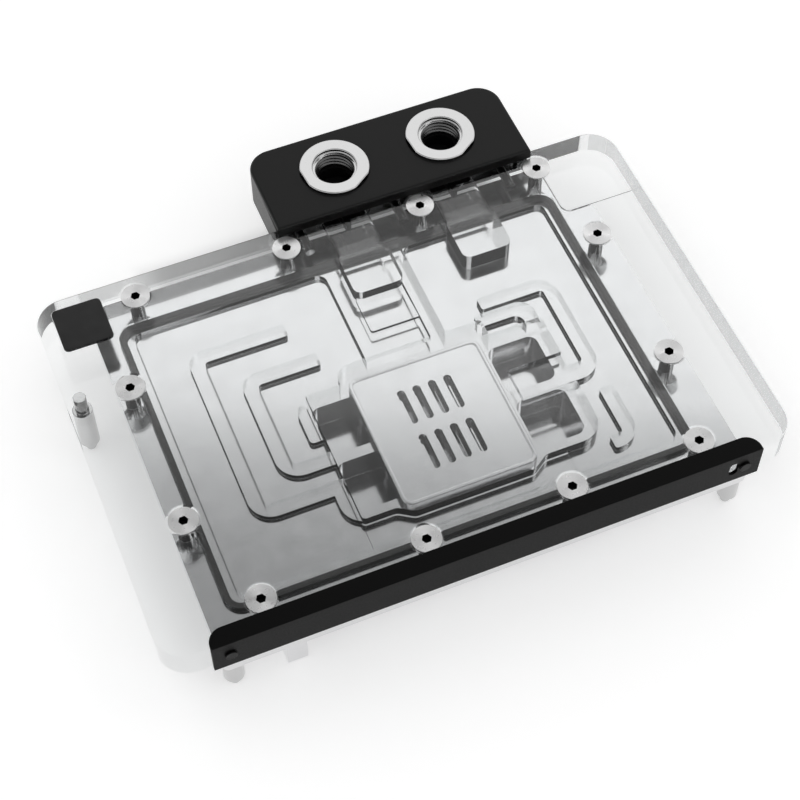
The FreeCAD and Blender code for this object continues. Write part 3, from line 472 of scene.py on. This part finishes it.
# ------------------------------------------------------------------ front trim
# Aluminium sheet, folded over the cover's front edge and held by two small screws. Its powder
# coat is a fine orange peel and nearly dead black from above.
PEEL_LUMP, PEEL_DEPTH = 0.556 * MM, 0.06 * MM
TRIM_ROUND, TRIM_ABOVE = 0.25 * MM, 0.2 * MM
coat, tree = new_material("black_powder_coat")
painted = node(tree, "ShaderNodeBsdfPrincipled",
               surface(tree, PEEL_LUMP, detail=2, low=0.38, high=0.5, dents=0.2,
                       depth=PEEL_DEPTH),
               Base_Color=colour("050505"), Specular_IOR_Level=0.09)
node(tree, "ShaderNodeOutputMaterial", {0: painted.outputs[0]})
shape = merged("front_trim", SLIVER_JOIN)
round_edges(shape, TRIM_ROUND, segments=3, clamp=False,
            chosen=above(cover_high.z + TRIM_ABOVE))
new_piece(shape, "folded_trim", (coat,), "black_coated_aluminium", "front_trim")

# ------------------------------------------------------------------ badge tile
# A plain tile of black acrylic, cut, polished and pressed into a seat in the cover's corner. Its
# gloss is even, with a polisher's haze some 3 mm across.
POLISHER_HAZE = 3.33 * MM
TILE_ROUND = 0.2 * MM
gloss, tree = new_material("black_gloss_acrylic")
tile = node(tree, "ShaderNodeBsdfPrincipled",
            surface(tree, POLISHER_HAZE, detail=2, low=0.16, high=0.22),
            Base_Color=colour("0d0d0d"), Specular_IOR_Level=0.3)
node(tree, "ShaderNodeOutputMaterial", {0: tile.outputs[0]})
shape = merged("badge_tile", SLIVER_JOIN)
round_edges(shape, TILE_ROUND, segments=3, clamp=False)
new_piece(shape, "plain_badge", (gloss,), "black_gloss_tile", "badge_tile")

# ------------------------------------------------------------------ light strip
# A flexible white circuit tape stuck in a groove of the cover, hidden behind the trim. Its
# solder mask is a matt white lacquer.
LACQUER_LUMP = 2.5 * MM
tape, tree = new_material("white_solder_mask")
lacquer = node(tree, "ShaderNodeBsdfPrincipled",
               surface(tree, LACQUER_LUMP, detail=2, low=0.45, high=0.6),
               Base_Color=colour("dfe0dc"))
node(tree, "ShaderNodeOutputMaterial", {0: lacquer.outputs[0]})
new_piece(merged("light_strip"), "led_tape", (tape,), "light_strip_tape", "light_strip")

# ------------------------------------------------------------------ cover screws
# Countersunk stainless screws that hold the cover on the cold plate. Their heads are turned, so
# the rings left by the tool spread each highlight into two fans.
TURNED_MARK = 1.11 * MM
SOCKET_REACH = 1.5 * MM
UV_LENGTH = 10 * MM
steel, tree = new_material("turned_stainless_steel")
turning = node(tree, "ShaderNodeTangent", direction_type="UV_MAP", uv_map="turning")
rings = surface(tree, TURNED_MARK, detail=2, low=0.26, high=0.34)
turned = node(tree, "ShaderNodeBsdfPrincipled", {**rings, "Tangent": turning.outputs[0]},
              Metallic=1.0, Base_Color=colour("e2e2e2"), Anisotropic=0.85,
              Anisotropic_Rotation=0.25)
node(tree, "ShaderNodeOutputMaterial", {0: turned.outputs[0]})

# Steel with a black oxide, dark and dull. The stainless screws' sockets get it too, as painted
# shade, because they are deep.
OXIDE_MARK = 1.11 * MM
blackened_and_socket_shade, tree = new_material("blackened_steel_and_socket_shade")
dark = node(tree, "ShaderNodeBsdfPrincipled",
            surface(tree, OXIDE_MARK, detail=2, low=0.35, high=0.45),
            Base_Color=colour("060606"), Specular_IOR_Level=0.15)
node(tree, "ShaderNodeOutputMaterial", {0: dark.outputs[0]})


def turn_round(shape):
    """A UV map whose U runs round the axis of each screw, for the turned gloss.

    The faces inside the socket get the dark second material, painted shade in the deep socket."""
    uv = shape.loops.layers.uv.new("turning")
    todo = set(shape.verts)
    while todo:
        screw, front = set(), [todo.pop()]
        while front:
            vert = front.pop()
            screw.add(vert)
            for line in vert.link_edges:
                other = line.other_vert(vert)
                if other in todo:
                    todo.discard(other)
                    front.append(other)
        mid_x = (min(v.co.x for v in screw) + max(v.co.x for v in screw)) / 2
        mid_y = (min(v.co.y for v in screw) + max(v.co.y for v in screw)) / 2
        for face in {face for vert in screw for face in vert.link_faces}:
            centre = face.calc_center_median()
            home = math.atan2(centre.y - mid_y, centre.x - mid_x)
            face.material_index = int(all(
                math.hypot(v.co.x - mid_x, v.co.y - mid_y) < SOCKET_REACH for v in face.verts))
            for loop in face.loops:
                x, y = loop.vert.co.x - mid_x, loop.vert.co.y - mid_y
                swing = (math.atan2(y, x) - home + math.pi) % (2 * math.pi) - math.pi
                loop[uv].uv = ((home + swing) / (2 * math.pi),
                               (math.hypot(x, y) + loop.vert.co.z) / UV_LENGTH)


shape = bmesh.new()
shape.from_mesh(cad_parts["cover_screws"].data)
bmesh.ops.remove_doubles(shape, verts=shape.verts, dist=WELD)
turn_round(shape)
new_piece(shape, "countersunk_screws", (steel, blackened_and_socket_shade), "steel_screw", "cover_screws",
          crease=30)

# ------------------------------------------------------------------ clamp and trim screws
# Steel socket screws, turned and blackened. Three pull the terminal block on to the cover's back
# edge, and two small ones hold the trim.
SCREW_ROUND = 0.1 * MM
for source in ("clamp_screws", "trim_screws"):
    shape = merged(source, SLIVER_JOIN)
    round_edges(shape, SCREW_ROUND, clamp=False)
    new_piece(shape, source + "_turned", (blackened_and_socket_shade,), "black_screw", source)

# ------------------------------------------------------------------ standoffs
# Brass spacers, turned and nickel plated like the port rings, with a threaded stud at both ends.
# They are screwed into the cold plate or the cover, and hold the block off the circuit board.
STANDOFF_ROUND = 0.2 * MM
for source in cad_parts:
    if "standoff" in source:
        shape = merged(source, SLIVER_JOIN)
        round_edges(shape, STANDOFF_ROUND, clamp=False)
        new_piece(shape, source + "_turned", (bright,), "plated_brass", source)
